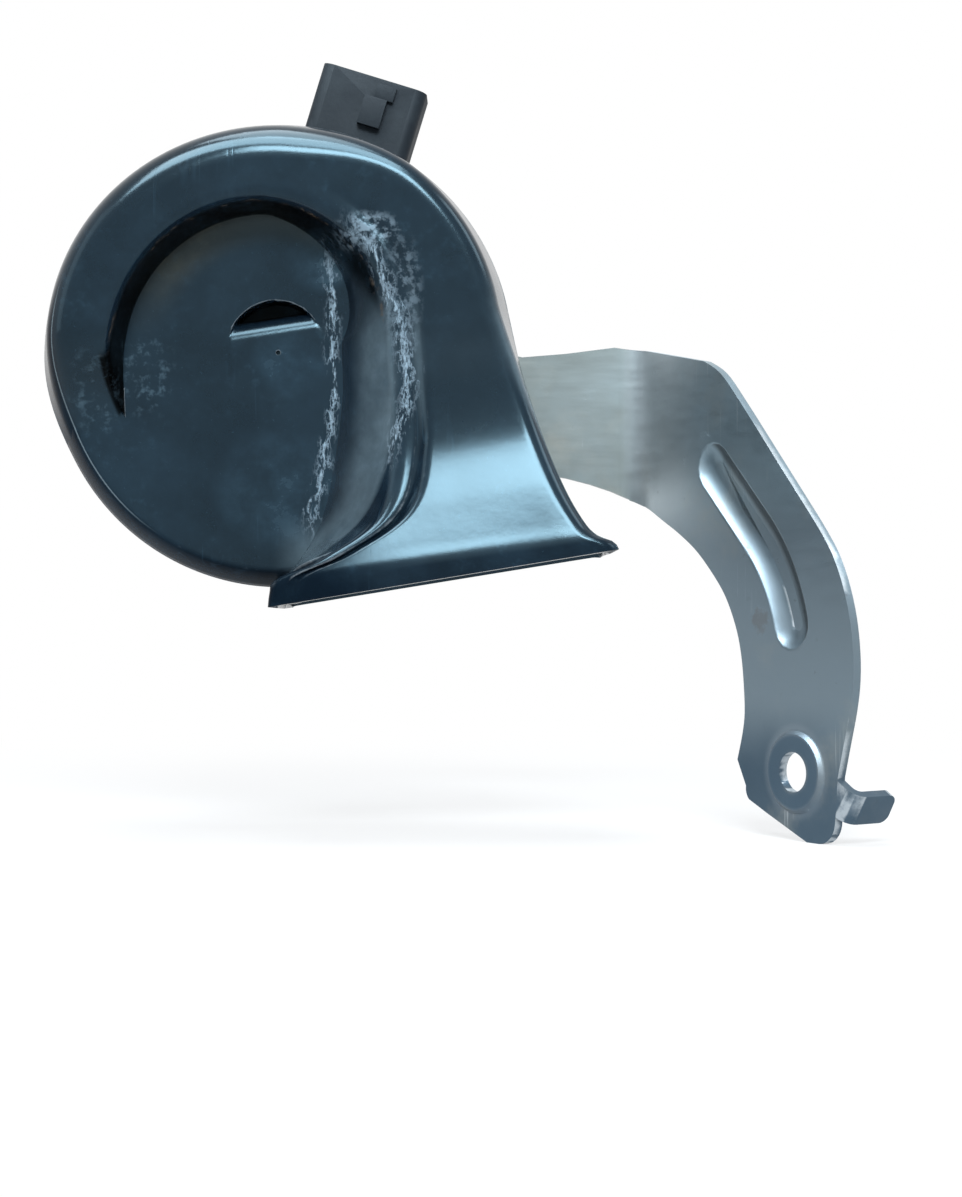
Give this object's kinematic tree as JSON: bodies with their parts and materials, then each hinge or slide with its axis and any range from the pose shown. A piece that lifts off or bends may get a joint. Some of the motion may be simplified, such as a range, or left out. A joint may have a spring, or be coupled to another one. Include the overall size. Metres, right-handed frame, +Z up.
{
  "type": "car horn",
  "caption": "Electric snail-type disc horn with a downward mouth, side plug socket and a bent steel bracket with bolt hole and locating tab.",
  "frame": {"origin": "centre of the bracket's bolt hole, in the middle of the sheet's thickness", "axes": "+X from the horn towards the bracket's arm, -Y the way the horn's face looks (the horn's axis runs along Y), +Z up with the mouth opening downwards"},
  "size_m": [0.176, 0.0736, 0.1686],
  "materials": {
    "shell_plastic": "moulded black, worn satin to glossy, with scuffs, dust and lime streaks",
    "plug_plastic": "black moulded, fine matt grain",
    "black_paint": "black stove enamel on pressed steel",
    "zinc_sheet": "dull zinc-plated sheet, greyed, with bright worn edges",
    "zinc_fastener": "zinc-plated steel",
    "bare_steel": "turned or rolled bare steel",
    "contact_brass": "bare brass",
    "copper_wire": "enamelled copper wire",
    "phenolic": "brown phenolic moulding",
    "bobbin_nylon": "natural nylon",
    "gasket_fibre": "pressed fibre gasket",
    "seal_rubber": "black rubber",
    "resistor_lacquer": "green lacquered body"
  },
  "bodies": {
    "horn": {"front_shell": "shell_plastic", "rear_shell": "shell_plastic", "steel_housing": "black_paint", "crimp_ring": "black_paint", "diaphragm": "bare_steel", "diaphragm_gasket": "gasket_fibre", "housing_gasket": "gasket_fibre", "pole_core": "bare_steel", "mounting_stud": "zinc_fastener", "coil_bobbin": "bobbin_nylon", "coil_winding": "copper_wire", "coil_leads": "copper_wire", "contact_base": "phenolic", "contact_spacers": "phenolic", "fixed_contact_arm": "contact_brass", "fixed_contact_point": "bare_steel", "contact_rivet": "contact_brass", "adjusting_screw": "zinc_fastener", "resistor": "resistor_lacquer", "terminal_pin_left": "contact_brass", "terminal_pin_right": "contact_brass", "connector_housing": "plug_plastic", "connector_seal": "seal_rubber", "connector_rivets": "zinc_fastener", "mounting_nut": "zinc_fastener", "spring_washer": "zinc_fastener", "bracket": "zinc_sheet"},
    "armature_body": {"armature": "bare_steel", "armature_washer": "bare_steel", "contact_pusher": "phenolic"},
    "contact_body": {"moving_contact_spring": "contact_brass", "moving_contact_point": "bare_steel"}
  },
  "joints": [
    {"name": "armature_stroke", "type": "slide", "parent": "horn", "child": "armature_body", "axis": [0, 1, 0], "range_m": [0, 0.0007], "stiffness_N_per_m": 2000, "deforming": ["diaphragm"]},
    {"name": "contact_swing", "type": "hinge", "parent": "horn", "child": "contact_body", "pos_m": [-0.10091, 0.0303, 0.11113], "axis": [0.9563, 0, -0.2924], "range_deg": [0, 4.6], "deforming": ["moving_contact_spring"]}
  ],
  "couplings": [
    {"joint": "contact_swing", "follows": "armature_stroke", "rad_per_m": 114}
  ]
}
